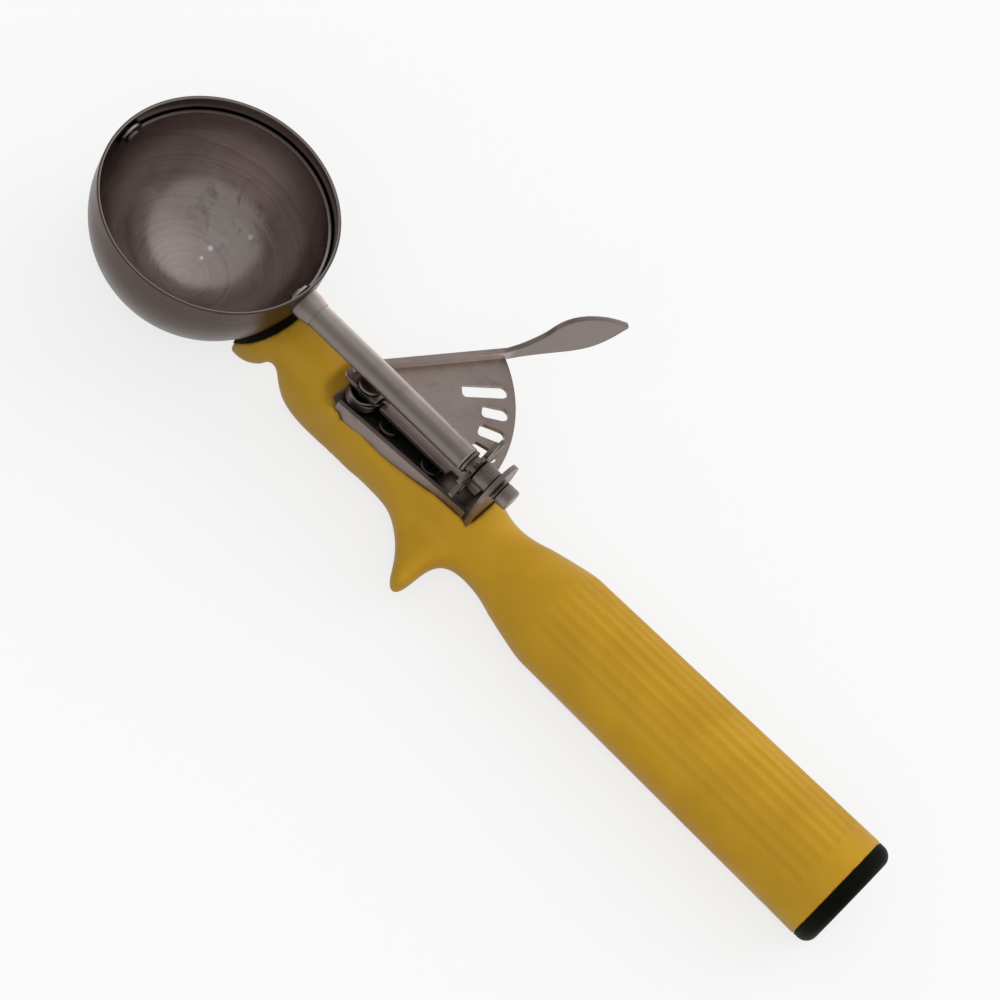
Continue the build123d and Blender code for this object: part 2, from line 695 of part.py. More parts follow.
def make_handle():
    cuts = [*deck_cut(), Sphere(bowl_outer_r + pad_wall + seat_gap), grip_bore()]
    cuts.append(block(0, tang_end + tang_gap, -tang_w / 2 - tang_gap, tang_w / 2 + tang_gap,
                      frame_low - tang_t - tang_gap, frame_low))
    cuts.append(post(pivot_x, 0, frame_low - tang_t - air_gap, frame_low, rivet_washer_r + air_gap))
    for x in screw_xs:
        cuts.append(post(x, screw_y, frame_top - screw_len - air_gap, frame_top, screw_r + tang_gap))
    cuts.append(rod(tab_x, nut_end_x + 2 * air_gap, nut_r + 2 * air_gap))
    return bar_form() + grip_form() + hook_form() - (cuts + flute_cutters())


def make_seat_pad():
    pad = shell(bowl_outer_r + pad_wall, bowl_outer_r + seat_gap) & bar_form()
    hole = block(0, bowl_outer_r * 2, -weld_half_w - tang_gap, weld_half_w + tang_gap,
                 weld_low - tang_gap, weld_high + tang_gap)
    return pad - hole


def make_end_cap():
    outer_r = butt_r - cap_inset
    cap = rod(butt_x + seat_gap, butt_x + cap_t, outer_r)
    cap = fillet(cap.edges().group_by(Axis.X)[-1], cap_round)
    plug = rod(butt_x - plug_len + air_gap, butt_x + seat_gap, bore_end_r - tang_gap)
    plug = chamfer(plug.edges().group_by(Axis.X)[0], cap_wall / 3)
    plug -= rod(butt_x - plug_len, butt_x - cap_wall, bore_end_r - cap_wall)
    return Pos(0, 0, axis_z) * (cap + plug)


# ---------------------------------------------------------------- write
nodes = {
    "handle_body": make_handle,
    "end_cap": make_end_cap,
    "bowl": make_bowl,
    "bowl_seat_pad": make_seat_pad,
    "bowl_tang": make_tang,
    "bowl_collar": make_collar,
    "shaft_sleeve": make_sleeve,
    "sleeve_front_bush": make_front_bush,
    "sleeve_rear_bush": make_rear_bush,
    "gear_frame": make_gear_frame,
    "frame_screws": make_screws,
    "lever_pivot_pin": make_pivot_pin,
    "pivot_spacer": make_spacer,
    "pivot_rivet_washer": make_rivet_washer,
    "far_pivot_pin": make_far_pin,
    "drive_shaft": make_drive_shaft,
    "scraper_blade": make_blade,
    "star_wheel": make_star_wheel,
    "wheel_hub": make_hub,
    "wheel_pin": make_wheel_pin,
    "thrust_washer": lambda: make_washer(washer_x, washer_t, hub_r),
    "end_washer": lambda: make_washer(end_washer_x, end_washer_t, nut_r),
    "shaft_end_nut": make_nut,
    "thumb_lever": make_thumb_lever,
    "lever_bush": make_lever_bush,
    "return_spring": make_spring,
}

for name, make in nodes.items():
    export_step(make(), f"parts/{name}.step")
    print("made", name)
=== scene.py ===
# %% [markdown]
# # A spring-return scoop, dressed for the camera
# The hard parts of this scoop come from a finished CAD model, so their sizes and joints are
# already right. This lesson gives them what CAD leaves out: spun and tumbled steel, moulded
# plastic, drawn wire, soft edges, a floor, lamps and a camera. First the frame is loaded.

# %% Load the frame
import bmesh
import bpy
import numpy as np
from math import cos, pi, radians, sin
from mathutils import Matrix, Vector


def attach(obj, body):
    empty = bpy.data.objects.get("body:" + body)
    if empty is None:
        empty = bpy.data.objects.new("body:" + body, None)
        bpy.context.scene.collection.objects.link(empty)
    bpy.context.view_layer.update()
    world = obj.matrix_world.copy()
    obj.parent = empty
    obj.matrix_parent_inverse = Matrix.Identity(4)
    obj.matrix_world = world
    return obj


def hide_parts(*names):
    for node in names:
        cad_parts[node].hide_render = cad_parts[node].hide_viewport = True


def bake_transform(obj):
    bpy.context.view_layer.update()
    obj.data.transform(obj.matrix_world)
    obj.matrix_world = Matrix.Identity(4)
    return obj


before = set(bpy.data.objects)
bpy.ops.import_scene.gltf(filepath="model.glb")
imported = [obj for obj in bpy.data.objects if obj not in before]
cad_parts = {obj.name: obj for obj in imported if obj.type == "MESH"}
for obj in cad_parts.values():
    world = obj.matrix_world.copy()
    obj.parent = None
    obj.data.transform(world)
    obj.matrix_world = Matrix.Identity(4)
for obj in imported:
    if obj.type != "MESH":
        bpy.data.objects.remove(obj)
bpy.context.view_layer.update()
mm = 0.001

# %% [markdown]
# Every finish here is made of nodes. Object coordinates are used throughout, because each CAD
# piece keeps its place in its mesh, so the coordinates are real metres in the shared frame and
# a scratch has the same width on every piece. A small helper adds a node, sets its options and
# sockets, and joins it up, which keeps the recipes below short enough to read.

# %% A helper for recipes
class Recipe:
    """One material under construction."""

    def __init__(self, name):
        self.material = bpy.data.materials.new(name)
        self.material.use_nodes = True
        self.tree = self.material.node_tree
        self.shader = self.tree.nodes["Principled BSDF"]
        self.place = self.add("TexCoord").outputs["Object"]

    def add(self, kind, options=None, **sockets):
        node = self.tree.nodes.new("ShaderNode" + kind)
        for option, value in (options or {}).items():
            setattr(node, option, value)
        for socket, value in sockets.items():
            self.put(node.inputs[socket.replace("_", " ")], value)
        return node

    def put(self, socket, value):
        if isinstance(value, bpy.types.NodeSocket):
            self.tree.links.new(value, socket)
        else:
            socket.default_value = value

    def math(self, operation, a, b=0.0):
        node = self.tree.nodes.new("ShaderNodeMath")
        node.operation = operation
        self.put(node.inputs[0], a)
        self.put(node.inputs[1], b)
        return node.outputs[0]

    def vector(self, operation, a, b=None):
        """Vector maths; a length, a distance and a dot product come back as a number."""
        node = self.add("VectorMath", {"operation": operation})
        self.put(node.inputs[0], a)
        if b is not None:
            self.put(node.inputs[1], b)
        gives_number = operation in ("LENGTH", "DISTANCE", "DOT_PRODUCT")
        return node.outputs["Value" if gives_number else "Vector"]

    def part(self, vector, axis):
        """The X, Y or Z of a vector."""
        return self.add("SeparateXYZ", Vector=vector).outputs[axis]

    def surface_normal(self):
        return self.add("NewGeometry").outputs["Normal"]

    def stretch(self, x, y, z):
        """Coordinates multiplied along each axis, to draw a pattern out."""
        return self.vector("MULTIPLY", self.place, (x, y, z))

    def noise(self, where, scale, detail=3.0, rough=0.55, warp=0.0):
        node = self.add("TexNoise", Vector=where, Scale=scale, Detail=detail, Roughness=rough,
                        Distortion=warp)
        return node.outputs["Fac"]

    def spread(self, value, low, high, to_low, to_high):
        """The value's range from low to high, laid over to_low to to_high."""
        node = self.add("MapRange", {"clamp": True}, Value=value)
        ends = {"From Min": low, "From Max": high, "To Min": to_low, "To Max": to_high}
        for name, number in ends.items():
            node.inputs[name].default_value = number
        return node.outputs["Result"]

    def blend(self, factor, a, b, mode="MIX"):
        """Colour a going over into colour b as the factor goes from 0 to 1."""
        node = self.add("Mix", {"data_type": "RGBA", "blend_type": mode})
        for index, value in ((0, factor), (6, a), (7, b)):
            self.put(node.inputs[index], value)
        return node.outputs[2]

    def bump(self, height, depth, strength=1.0, under=None):
        """A bump depth metres deep over the normal under it."""
        node = self.add("Bump", Height=height)
        node.inputs["Distance"].default_value = depth
        node.inputs["Strength"].default_value = strength
        if under is not None:
            self.put(node.inputs["Normal"], under)
        return node.outputs["Normal"]

    def soft_edges(self, radius):
        """The surface's normal with its sharp edges rounded off."""
        return self.add("Bevel", {"samples": 4}, Radius=radius).outputs["Normal"]

    def done(self, colour, roughness, normal, **sockets):
        self.put(self.shader.inputs["Base Color"], colour)
        self.put(self.shader.inputs["Roughness"], roughness)
        self.put(self.shader.inputs["Normal"], normal)
        for socket, value in sockets.items():
            self.shader.inputs[socket.replace("_", " ")].default_value = value
        return self.material


def toned(colour, share):
    """A colour brightened or darkened by a share, for a colour socket."""
    return (*[min(1, c * share) for c in colour], 1)


print("recipes can be written")

# %% [markdown]
# ## Steel
# Kitchen tools of this kind are stainless steel that has been spun, pressed or turned and then
# tumbled with abrasive stones. Use dulls it further, so it is grey with a slightly warm cast and
# has no mirror left. The colour wanders between two greys over a centimetre or so, the
# roughness wanders with it, and the tool marks are fine streaks that follow how the piece was
# made. One function makes all the steels, and the caller says how the streaks run: "rings" round
# the bowl's upright axis, "turned" round the shaft, "drawn" along the shaft, or "tumbled" with
# no direction.

# %% Streak patterns
def streaks(r, way):
    """Fine tool marks as a value from 0 to 1."""
    if way == "rings":
        x, y, z = r.add("SeparateXYZ", Vector=r.place).outputs
        radius = r.math("SQRT", r.math("ADD", r.math("MULTIPLY", x, x), r.math("MULTIPLY", y, y)))
        angle = r.math("ARCTAN2", radius, r.math("MULTIPLY", z, -1.0))
        drift = 0.35  # lets a ring fade in and out on its way round
        lines = r.add("CombineXYZ", X=angle, Y=r.math("MULTIPLY", x, drift),
                      Z=r.math("MULTIPLY", y, drift)).outputs[0]
        coarse, fine = r.noise(lines, 28, 3, 0.6), r.noise(lines, 170, 2, 0.6)
        return r.math("ADD", r.math("MULTIPLY", coarse, 0.6), r.math("MULTIPLY", fine, 0.4))
    if way == "turned":
        return r.noise(r.stretch(3200, 60, 60), 1, 3, 0.6)
    if way == "drawn":
        return r.noise(r.stretch(45, 2600, 2600), 1, 3, 0.6)
    fine = r.noise(r.place, 1500, 4, 0.7, 1.5)
    long = r.noise(r.stretch(260, 1900, 900), 1, 3, 0.6, 0.8)
    return r.math("ADD", r.math("MULTIPLY", fine, 0.5), r.math("MULTIPLY", long, 0.5))


print("four ways for the marks to run")


# %% [markdown]
# The bowl and the blade carry more history than the rest. Their spinning left faint rings, their
# lips are worn pale where the scoop is pushed into hard ice, and water that dried in the bowl
# left a cloudy stain. A few tiny white dots on it are painted glints.

# %% Distances in the bowl
def reach_from(r, spot):
    """Distance from a spot given in millimetres."""
    return r.vector("DISTANCE", r.place, [c * mm for c in spot])


def bowl_radius(r):
    """Distance from the bowl's middle, or from its axis above the middle."""
    return r.vector("LENGTH", r.vector("MINIMUM", r.place, (1, 1, 0)))


print("distances ready")


# %% Marks of spinning and use
stain_spot = (-2.5, 16.3, -19.8)
painted_glints = (((-0.5, 9.0, -24.8), 0.85), ((4.2, 15.8, -20.8), 0.8), ((-0.3, 6.1, -25.6), 0.55))
worn_lip = (0.66, 0.60, 0.57, 1)
white = (1.0, 1.0, 1.0, 1)


def spun_marks(r, base, haze, marks, stain, dark):
    """Dark rings, the dried water's stain, a few painted glints, and the worn lip."""
    base = r.blend(r.spread(marks, 0.25, 0.5, 0.35, 0), base, toned(dark, 0.62))
    pool = r.spread(reach_from(r, stain_spot), 3 * mm, 11 * mm, 1, 0)
    blot = r.math("MULTIPLY", pool, r.spread(stain, 0.5, 0.62, 0, 0.65))
    base = r.blend(blot, base, toned(dark, 0.35))
    haze = r.math("ADD", haze, r.math("MULTIPLY", pool, 0.06))
    # Painted glints: tiny white dots, a little rougher than the steel round them.
    for spot, size in painted_glints:
        scale = r.spread(reach_from(r, spot), size * 0.4 * mm, size * mm, 0.9, 0)
        base = r.blend(scale, base, white)
        haze = r.math("ADD", haze, r.math("MULTIPLY", scale, 0.25))
    outward = r.vector("NORMALIZE", r.place)
    facing = r.math("ABSOLUTE", r.vector("DOT_PRODUCT", r.surface_normal(), outward))
    return r.blend(r.spread(facing, 0.55, 0.85, 0.3, 0), base, worn_lip), haze


print("scale specks", len(painted_glints))

# %% [markdown]
# The outside of the bowl is duller than its inside and darkened with painted shade, and a band
# inside the rim is darkened with painted shade too. The lever is sheared from sheet: its broad
# leaf is darkened with painted shade, and the inner face of its folded flange is rougher and
# carries a painted highlight. The drawn sleeve has a painted highlight on the side that faces
# the lever and painted shade on the side that faces away.

# %% Differences within a piece
bowl_skin = 26.5 * mm            # from the middle to halfway through the bowl's wall
leaf_start = (28 * mm, 31 * mm)  # in Y, where the lever's plate ends and its leaf begins
flange_way = (-0.8368, 0.5476, 0)           # square to the lever's flange
flange_face = (-37.8 * mm, -37.6 * mm)      # its inner face lies just beyond these


def bowl_painted_shade(r, base, haze, dark, outside_shade):
    outside = r.spread(bowl_radius(r), bowl_skin, bowl_skin + 0.1 * mm, 0, 1)
    # Painted shade: a dark band on the bowl's inner wall just below the rim.
    near_rim = r.spread(r.part(r.place, "Z"), -6 * mm, -1 * mm, 0, 0.55)
    rim_band_shade = r.math("MULTIPLY", r.math("SUBTRACT", 1.0, outside), near_rim)
    base = r.blend(rim_band_shade, base, toned(dark, 0.4))
    # Painted shade: the bowl's outside is multiplied darker.
    base = r.blend(outside, base, r.blend(1.0, base, (*outside_shade, 1), "MULTIPLY"))
    return base, r.math("ADD", haze, r.math("MULTIPLY", outside, 0.12))


def lever_painted_light(r, base, haze, dark, light):
    # Painted highlight on the inner face of the flange, and painted shade on the leaf.
    upright = r.spread(r.math("ABSOLUTE", r.part(r.surface_normal(), "Z")), 0.3, 0.7, 0.9, 0)
    side = r.part(r.place, "Y")
    flange_highlight = r.math("MULTIPLY", upright, r.spread(side, *leaf_start, 1, 0))
    across = r.vector("DOT_PRODUCT", r.place, flange_way)
    flange_highlight = r.math("MULTIPLY", flange_highlight, r.spread(across, *flange_face, 0, 1))
    haze = r.math("ADD", haze, r.math("MULTIPLY", flange_highlight, 0.3))
    base = r.blend(flange_highlight, base, toned(light, 2.8))
    return r.blend(r.spread(side, *leaf_start, 0, 0.65), base, toned(dark, 0.7)), haze


def sleeve_painted_sides(r, base, dark, light):
    # Painted shade on the side facing away from the lever, painted highlight on the side facing it.
    side = r.part(r.surface_normal(), "Y")
    base = r.blend(r.spread(side, -0.2, -0.75, 0, 0.75), base, toned(dark, 0.55))
    return r.blend(r.spread(side, 0.15, 0.75, 0, 0.85), base, toned(light, 1.7))


print("three pieces can differ from side to side")


# %% Steel finish
def steel(name, dark, light, rough, way, depth=0.008 * mm, outside_shade=None, corner_shade=0.8, reach=5 * mm,
          shade_colour=(0.03, 0.021, 0.016), edge=0.15 * mm, paint_lever_light=False):
    """A steel between two greys, with painted shade within reach of its corners."""
    r = Recipe(name)
    marks = streaks(r, way)
    cloud = r.noise(r.place, 95, 4, 0.55, 0.6)
    stain = r.noise(r.place, 240, 4, 0.65, 0.5)
    base = r.blend(r.spread(cloud, 0.3, 0.7, 0, 1), (*dark, 1), (*light, 1))
    base = r.blend(r.spread(marks, 0.35, 0.75, 0, 0.4), base, toned(light, 1.3))
    base = r.blend(r.spread(stain, 0.58, 0.8, 0, 0.5), base, toned(dark, 0.6))
    haze = r.math("ADD", r.spread(cloud, 0.3, 0.7, rough, rough + 0.08),
                  r.spread(marks, 0.3, 0.7, -0.03, 0.04))
    if way == "rings":
        base, haze = spun_marks(r, base, haze, marks, stain, dark)
    # Painted shade: the colour darkens where ambient occlusion finds corners and gaps.
    corner = r.add("AmbientOcclusion", {"samples": 4}, Distance=reach).outputs["AO"]
    base = r.blend(r.spread(corner, 0.3, 0.85, corner_shade, 0), base, (*shade_colour, 1))
    if way == "drawn":
        base = sleeve_painted_sides(r, base, dark, light)
    if paint_lever_light:
        base, haze = lever_painted_light(r, base, haze, dark, light)
    if outside_shade:
        base, haze = bowl_painted_shade(r, base, haze, dark, outside_shade)
    dents = r.bump(r.noise(r.place, 120, 2), 0.05 * mm, 0.3, r.soft_edges(edge))
    return r.done(base, haze, r.bump(marks, depth, 0.8, dents), Metallic=1.0)


print("one function for every steel")

# %% The steels
bowl_steel = steel("bowl_steel", (0.363, 0.30, 0.283), (0.473, 0.41, 0.388), 0.17, "rings",
                   depth=0.014 * mm, outside_shade=(0.205, 0.17, 0.15), corner_shade=0.97, reach=8 * mm)
blade_steel = steel("blade_steel", (0.40, 0.34, 0.325), (0.52, 0.45, 0.43), 0.18, "rings",
                    depth=0.014 * mm)
pressed_steel = steel("pressed_steel", (0.185, 0.148, 0.132), (0.255, 0.21, 0.193), 0.33, "tumbled",
                      corner_shade=0.75, reach=3 * mm, shade_colour=(0.06, 0.042, 0.03))
lever_steel = steel("lever_steel", (0.263, 0.213, 0.193), (0.375, 0.311, 0.286), 0.35, "tumbled",
                    corner_shade=0.3, reach=1.5 * mm, edge=0.3 * mm, paint_lever_light=True)
turned_steel = steel("turned_steel", (0.19, 0.155, 0.14), (0.29, 0.245, 0.225), 0.30, "turned")
drawn_steel = steel("drawn_steel", (0.31, 0.26, 0.235), (0.45, 0.385, 0.363), 0.33, "drawn",
                    corner_shade=0.4, reach=1.5 * mm)
spring_steel = steel("spring_steel", (0.20, 0.17, 0.155), (0.34, 0.30, 0.28), 0.28, "tumbled")
print("steels:", [m.name for m in bpy.data.materials if "steel" in m.name])

# %% [markdown]
# ## Plastic
# The handle is one moulding in deep yellow. Its skin is satin, a little uneven where the wall is
# thick and the plastic shrank, and browner in corners and recesses, which is painted shade.
# Ambient occlusion finds the corners, which costs little here because it looks only a few
# millimetres round each point. Towards the bowl the handle turns browner, and where the halves of
# the mould met it has a fine seam. The cap and pad are the same plastic in black, and the two
# bearing sleeves are plain off-white.

# %% Plastic finishes
bar_brown_toward_bowl = (0.38, 0.225, 0.02, 1)


def moulded(name, light, deep, rough, shine, corner_shade=None, seam_z=None):
    """A plastic between two tones; seam_z is the height of the mould's seam."""
    r = Recipe(name)
    swirl = r.noise(r.place, 55, 3, 0.5, 0.8)
    skin = r.noise(r.place, 2300, 3, 0.6)
    sink = r.noise(r.place, 70, 2, 0.45)
    base = r.blend(r.spread(swirl, 0.3, 0.7, 0, 1), (*light, 1), (*deep, 1))
    if corner_shade:
        # Painted shade: browner where ambient occlusion finds corners and recesses.
        corner = r.add("AmbientOcclusion", {"samples": 4}, Distance=6 * mm).outputs["AO"]
        base = r.blend(r.spread(corner, 0.35, 0.95, 0.75, 0), base, (*corner_shade, 1))
    if seam_z is not None:
        # The bar turns browner towards the bowl end.
        along_bar = r.spread(r.part(r.place, "X"), 30 * mm, 85 * mm, 0.45, 0)
        base = r.blend(along_bar, base, bar_brown_toward_bowl)
    scuff = r.noise(r.stretch(180, 900, 900), 1, 4, 0.7)
    haze = r.math("ADD", r.spread(swirl, 0.3, 0.7, rough - 0.05, rough + 0.05),
                  r.spread(scuff, 0.55, 0.75, 0, 0.12))
    normal = r.bump(sink, 0.22 * mm, 0.5, r.soft_edges(0.3 * mm))
    if seam_z is not None:
        off = r.math("ABSOLUTE", r.math("SUBTRACT", r.part(r.place, "Z"), seam_z))
        normal = r.bump(r.spread(off, 0.05 * mm, 0.18 * mm, 1, 0), 0.05 * mm, 0.4, normal)
    return r.done(base, haze, r.bump(skin, 0.02 * mm, 0.5, normal), Specular_IOR_Level=shine)


yellow_plastic = moulded("yellow_plastic", (0.63, 0.35, 0.018), (0.55, 0.30, 0.015), 0.42, 0.17,
                         corner_shade=(0.26, 0.135, 0.016), seam_z=-20.8 * mm)
black_plastic = moulded("black_plastic", (0.007, 0.007, 0.004), (0.004, 0.004, 0.003), 0.5, 0.03)
bearing_plastic = moulded("bearing_plastic", (0.37, 0.345, 0.30), (0.30, 0.28, 0.24), 0.5, 0.3)
print("plastics:", [m.name for m in bpy.data.materials if "plastic" in m.name])

# %% [markdown]
# ## The return spring
# A torsion spring of drawn wire, three turns and a bit round the lever's pivot. Its lower leg
# lies against a lug of the frame and its upper leg hooks through a notch in the lever. The CAD
# solid can't wind up, so the wire is built again here as a smooth curve with a round bevel
# and turned into a mesh.

# %% Spring route
pivot_x = 49.05
pivot = Vector((pivot_x, 0, 0))
coil_r, coil_pitch, wire_r = 3.8, 0.86, 0.4
low, over = -10.94, -5.18        # heights of the lower leg and of the hook on the plate
turns = 3 + 195 / 360
high = low + coil_pitch * turns  # height of the upper leg
leg_reach, leg_points, coil_points = 11.75, 5, 42
route = [pivot + Vector((leg_reach * i / leg_points, coil_r, low)) for i in range(leg_points, 0, -1)]
for i in range(coil_points + 1):
    a = pi / 2 + 2 * pi * turns * i / coil_points
    rise = coil_pitch * turns * i / coil_points
    route.append(pivot + Vector((coil_r * cos(a), coil_r * sin(a), low + rise)))
hook = pivot + Vector((4.4, -0.6, 0))
corner_r = 0.75
for dx, dy, z in ((-2 * corner_r, -1.2, high), (-corner_r, -0.52, high), (0, 0, high + corner_r),
                  (0, 0, (high + over) / 2), (0, 0, over - corner_r), (corner_r, 0, over),
                  (2 * corner_r, 0, over)):
    route.append(hook + Vector((dx, dy, z)))
print("spring points", len(route), "coil top", round(high, 2))


# %% Wire from a route
def evaluated_mesh(holder):
    """The mesh of an object with its bevel or modifiers done."""
    bpy.context.view_layer.update()
    return bpy.data.meshes.new_from_object(holder.evaluated_get(bpy.context.evaluated_depsgraph_get()))


def wire(name, points, radius):
    """A smooth round wire through points given in millimetres."""
    line = bpy.data.curves.new(name, "CURVE")
    line.dimensions, line.resolution_u = "3D", 5
    line.bevel_depth, line.bevel_resolution = radius * mm, 5
    line.use_fill_caps = True
    run = line.splines.new("BEZIER")
    run.bezier_points.add(len(points) - 1)
    for bend, point in zip(run.bezier_points, points):
        bend.co = point * mm
        bend.handle_left_type = bend.handle_right_type = "AUTO"
    holder = bpy.data.objects.new(name, line)
    bpy.context.scene.collection.objects.link(holder)
    mesh = evaluated_mesh(holder)
    bpy.data.objects.remove(holder)
    mesh.polygons.foreach_set("use_smooth", [True] * len(mesh.polygons))
    piece = bpy.data.objects.new(name, mesh)
    bpy.context.scene.collection.objects.link(piece)
    return piece


coil = wire("spring_wire", route, wire_r)
coil.data.materials.append(spring_steel)
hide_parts("return_spring")
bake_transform(coil)
print("spring faces", len(coil.data.polygons))

# %% [markdown]
# ## The moulded handle
# A moulded handle has no sharp corner anywhere, because the plastic must leave the mould, and
# the neck, the recess and the grooves all run into each other. The CAD solid has the right
# form with crisp seams between its surfaces. A copy of it is remeshed into even little quads
# and relaxed: each vertex moves towards the middle of its neighbours, and every second pass
# pushes part of the way back so that the form doesn't shrink. Where a real moulding melts one
# shape into the next, many more passes are run.

# %% Even quads
def remeshed(copy, cell):
    """Turns a piece's mesh into even quads."""
    grid = copy.modifiers.new("grid", "REMESH")
    grid.mode, grid.voxel_size = "VOXEL", cell
    mesh = evaluated_mesh(copy)
    copy.modifiers.clear()
    mesh.name = copy.name
    copy.data = mesh


def points_of(mesh):
    """The vertices as an array of rows."""
    flat = np.zeros(len(mesh.vertices) * 3)
    mesh.vertices.foreach_get("co", flat)
    return flat.reshape(-1, 3)


def relax(points, pairs, passes, weight, push_back=True):
    """Moves each point towards its neighbours' middle, by its weight."""
    pull, push = 0.5, -0.52
    count = np.bincount(pairs.ravel(), minlength=len(points))[:, None]
    for step in range(passes):
        middle = np.zeros_like(points)
        for axis in range(3):
            middle[:, axis] = np.bincount(pairs[:, 0], points[pairs[:, 1], axis], len(points))
            middle[:, axis] += np.bincount(pairs[:, 1], points[pairs[:, 0], axis], len(points))
        share = push if push_back and step % 2 else pull
        points = points + share * weight[:, None] * (middle / count - points)
    return points


print("a mesh can be relaxed")


# %% Where to relax
def near(points, least, most, margin):
    """Weight 1 inside a box in millimetres, falling to 0 over a margin outside it."""
    mid, half = (np.array(least) + most) / 2, (np.array(most) - least) / 2
    outside = np.abs(points / mm - mid) - half
    return np.clip(1 - np.linalg.norm(np.maximum(outside, 0), axis=1) / margin, 0, 1)


print("boxes can be weighed")

# %% [markdown]
# The recess and the steel frame in it need care first. A wall of plastic that ends in a thin
# edge against the steel would come out in steps from the even quads, so the recess walls are
# tucked a little way inside the frame's walls, where they are hidden. Real plastic also rises
# softly round the front of the frame and beside its upright tab, so small mounds are joined to
# the copy before it is remeshed.

# %% Tuck in
recess_x = (42.3, 83.6)           # the recess from front to rear, in millimetres
frame_x = (46.85, 82.75)          # the ends of its straight walls
frame_half_width = (7.62, 5.52)   # their distance from the middle at those ends
tuck, touch = 0.55, 0.06          # how far they move, and how near a point must be to count


def tuck_in(points):
    """Moves the recess walls inside the frame's walls; gives the number of points moved."""
    x, y = points[:, 0] / mm, points[:, 1] / mm
    off_wall = np.abs(np.abs(y) - np.interp(x, frame_x, frame_half_width))
    wall = (x > recess_x[0]) & (x < recess_x[1]) & (off_wall < touch)
    points[wall, 1] -= np.sign(y[wall]) * tuck * mm
    return int(wall.sum())


print("recess walls can be tucked in")


# %% A copy of the handle
handle = bpy.data.objects.new("moulded_handle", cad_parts["handle_body"].data.copy())
bpy.context.scene.collection.objects.link(handle)
start = points_of(handle.data)
print("tucked in", tuck_in(start))
handle.data.vertices.foreach_set("co", start.ravel())

# %% Plastic risen round the front of the frame
cell = 0.5 * mm
swollen = bmesh.new()
swollen.from_mesh(handle.data)
mounds = [((42.6, 0, -14.6), (4.2, 8.3, 3.1))]
for side in (-1, 1):
    mounds += [((45.0, side * 6.3, -12.9), (2.7, 2.3, 2.2)),
               ((46.2, side * 7.7, -13.0), (3.6, 1.3, 3.2)),
               ((84.2, side * 6.0, -11.6), (1.3, 0.75, 2.2))]
for middle, size in mounds:
    place = Matrix.Translation(Vector(middle) * mm) @ Matrix.Diagonal((*[c * mm for c in size], 1))
    bmesh.ops.create_icosphere(swollen, subdivisions=4, radius=1, matrix=place)
swollen.to_mesh(handle.data)
swollen.free()
remeshed(handle, cell)
print("mounds", len(mounds), "quads", len(handle.data.polygons))

# %% Relaxed shape
pairs = np.zeros(len(handle.data.edges) * 2, int)
handle.data.edges.foreach_get("vertices", pairs)
pairs = pairs.reshape(-1, 2)
shape = relax(points_of(handle.data), pairs, 8, np.ones(len(handle.data.vertices)))
soft_boxes = {
    "neck": (200, (88, -12, -30), (96, 12, -6), 4),
    "front of the recess": (60, (39.5, -10, -14), (45, 10, 0), 3),
    "finger hook": (120, (60, -27, -34), (90, -6.5, -10), 3),
}
for passes, least, most, margin in soft_boxes.values():
    shape = relax(shape, pairs, passes, near(shape, least, most, margin), push_back=False)
handle.data.vertices.foreach_set("co", shape.ravel())
handle.data.polygons.foreach_set("use_smooth", [True] * len(handle.data.polygons))
handle.data.materials.clear()
handle.data.materials.append(yellow_plastic)
handle.data.update()
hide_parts("handle_body")
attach(handle, "handle")
print("relaxed further at", list(soft_boxes))

# %% [markdown]
# ## Dress the CAD pieces
# The CAD nodes whose shape is right keep it, and only take a finish. The table says which piece
# gets which one, and what it leaves out is turned steel.

# %% Assign finishes
finish_of = {
    "handle_body": yellow_plastic, "end_cap": black_plastic, "bowl_seat_pad": black_plastic,
    "bowl": bowl_steel, "scraper_blade": blade_steel, "thumb_lever": lever_steel,
    "shaft_sleeve": drawn_steel, "bowl_collar": drawn_steel,
    "sleeve_front_bush": bearing_plastic, "sleeve_rear_bush": bearing_plastic,
}
for node in ("bowl_tang", "gear_frame", "star_wheel", "thrust_washer", "end_washer"):
    finish_of[node] = pressed_steel
for node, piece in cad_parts.items():
    finish = finish_of.get(node, turned_steel)
    piece.data.materials.clear()
    piece.data.materials.append(finish)
print({node: len(piece.data.polygons) for node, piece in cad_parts.items()})

# %% [markdown]
# ## The floor
# A pale sheet under the scoop, tilted two degrees so that the bowl and the butt both rest on it.
# Seen straight or in a reflection it glows a little, so that it stays white and still keeps the
# scoop's shadow. To all other light it is a darker matt sheet, which keeps it from filling the
# scoop's own shadows.

# %% Floor
half, tilt, floor_z = 6, radians(2.17), -26.92 * mm
floor_mesh = bpy.data.meshes.new("floor")
floor_mesh.from_pydata([(-half, -half, 0), (half, -half, 0), (half, half, 0), (-half, half, 0)], [],
                       [(0, 1, 2, 3)])
floor = bpy.data.objects.new("floor", floor_mesh)
bpy.context.scene.collection.objects.link(floor)
floor.rotation_euler = (0, tilt, 0)
floor.location = (0, 0, floor_z)
print("floor laid")

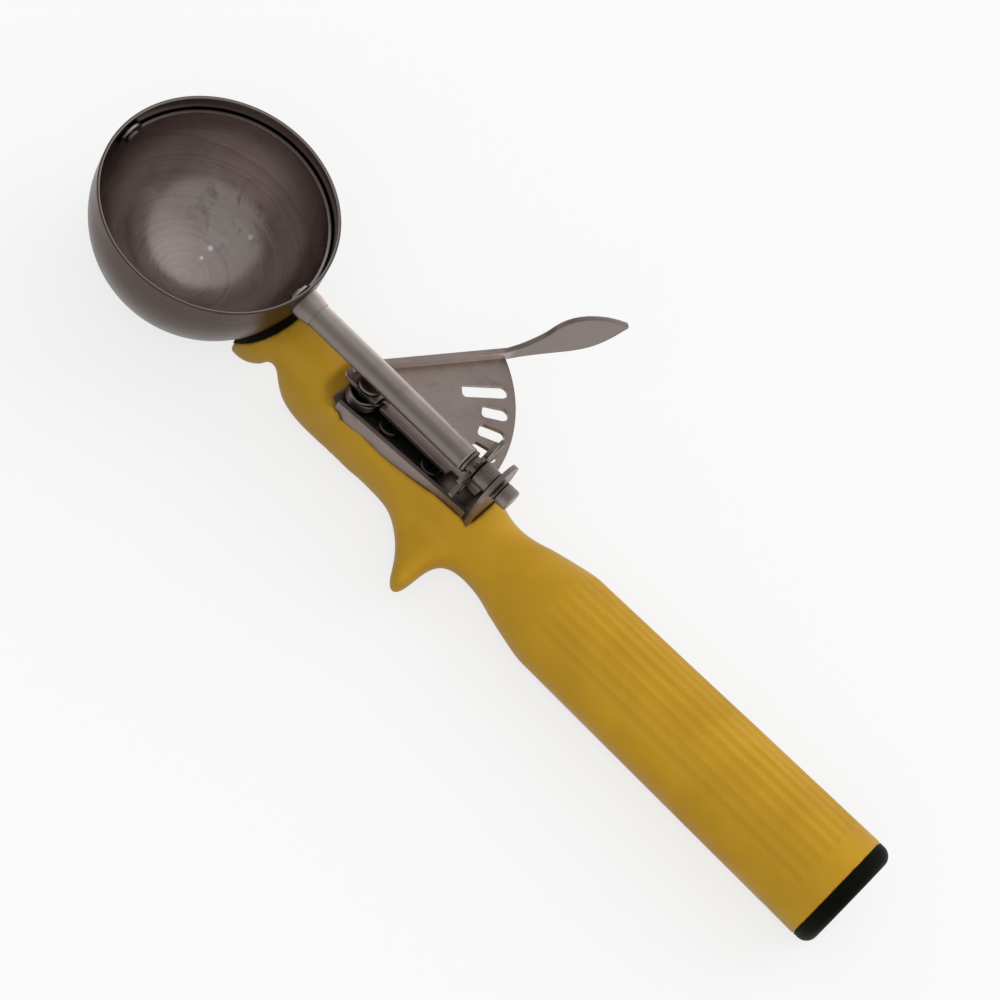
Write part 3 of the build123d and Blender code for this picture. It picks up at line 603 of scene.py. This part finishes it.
# %% Paper
own_light = 0.74  # share of the sheet's colour that is its own glow
paper = Recipe("paper")
grain = paper.noise(paper.place, 400, 3)
paper.done((0.94, 0.94, 0.94, 1), 0.8, paper.bump(grain, 0.05 * mm, 0.2), Specular_IOR_Level=0.0)
seen = paper.add("LightPath").outputs
mirrored = paper.math("MAXIMUM", seen["Is Glossy Ray"], seen["Is Transmission Ray"])
shown = paper.math("MAXIMUM", seen["Is Camera Ray"], mirrored)
shine = paper.add("Emission", Color=white, Strength=1.0)
matt = paper.add("BsdfDiffuse", Color=(0.35, 0.35, 0.35, 1))
page, either = paper.add("MixShader"), paper.add("MixShader")
for node, share, first, second in ((page, own_light, paper.shader, shine), (either, shown, matt, page)):
    paper.put(node.inputs[0], share)
    paper.put(node.inputs[1], first.outputs[0])
    paper.put(node.inputs[2], second.outputs[0])
paper.put(paper.tree.nodes["Material Output"].inputs["Surface"], either.outputs[0])
floor_mesh.materials.append(paper.material)
print("paper, own light", own_light)

# %% [markdown]
# ## Light
# Soft studio light: a broad lamp high on the thumb lever's side, a weaker one across from it,
# and a sky that is pale at the horizon and greyer overhead, with a soft glow high on the
# lever's side. Steel shows what surrounds it, so the greyer sky gives the bowl its depth, and
# the glow lights the bowl's floor and the lever's plate. The lamps are hidden from reflections,
# because their edges would show in the steel.

# %% World
world = bpy.data.worlds.new("studio")
bpy.context.scene.world = world
world.use_nodes = True
sky = world.node_tree
look = sky.nodes.new("ShaderNodeTexCoord").outputs["Generated"]
height = sky.nodes.new("ShaderNodeSeparateXYZ")
sky.links.new(look, height.inputs[0])
shade = sky.nodes.new("ShaderNodeValToRGB")
sky.links.new(height.outputs["Z"], shade.inputs["Fac"])
stops = shade.color_ramp.elements
stops[0].position, stops[0].color = 0.18, (0.93, 0.93, 0.93, 1)
stops[1].position, stops[1].color = 0.6, (0.52, 0.52, 0.52, 1)
backdrop = sky.nodes["Background"]
sky.links.new(shade.outputs["Color"], backdrop.inputs["Color"])
print("sky shaded")

# %% Glow
toward = sky.nodes.new("ShaderNodeVectorMath")
toward.operation = "DOT_PRODUCT"
sky.links.new(look, toward.inputs[0])
toward.inputs[1].default_value = Vector((0.05, 0.65, 0.76)).normalized()
glow = toward.outputs["Value"]
for operation, number in (("MAXIMUM", 0.0), ("POWER", 4.0), ("MULTIPLY", 0.55), ("ADD", 0.86)):
    step = sky.nodes.new("ShaderNodeMath")
    step.operation = operation
    sky.links.new(glow, step.inputs[0])
    step.inputs[1].default_value = number
    glow = step.outputs[0]
sky.links.new(glow, backdrop.inputs["Strength"])
print("glow toward", [round(c, 2) for c in toward.inputs[1].default_value])


# %% Lamps
def lamp(name, place, aim, size, watts):
    """A round lamp that doesn't show in reflections."""
    data = bpy.data.lights.new(name, "AREA")
    data.shape, data.size, data.energy = "DISK", size, watts
    holder = bpy.data.objects.new(name, data)
    bpy.context.scene.collection.objects.link(holder)
    holder.location = place
    holder.rotation_euler = (Vector(aim) - Vector(place)).to_track_quat("-Z", "Y").to_euler()
    holder.visible_glossy = False


scoop_middle = (0.09, 0, 0)
lamp("key", (0.8, 1.9, 1.1), scoop_middle, 2.4, 18)
lamp("fill", (0.15, -1.1, 1.5), scoop_middle, 1.6, 9)

# %% [markdown]
# ## Camera
# A long lens from about a metre away, above and in front, with the scoop lying across the frame.
# The matrix columns are the camera's right, its up and its back.

# %% Camera
eye = bpy.data.objects.new("eye", bpy.data.cameras.new("eye"))
bpy.context.scene.collection.objects.link(eye)
place = (0.19097, -0.529693, 0.825988)
right = Vector((0.71619, 0.62554, 0.30945))
up = Vector((-0.68984, 0.56733, 0.44972))
ahead = Vector((-0.10576, 0.53556, -0.83785))
turn = Matrix((right, up, -ahead)).transposed().to_4x4()
eye.matrix_world = Matrix.Translation(place) @ turn
eye.data.lens, eye.data.sensor_width = 167.94, 36
eye.data.clip_start, eye.data.clip_end = 0.01, 40
bpy.context.scene.camera = eye
bpy.context.scene.view_settings.view_transform = "Standard"
print("lens", eye.data.lens)
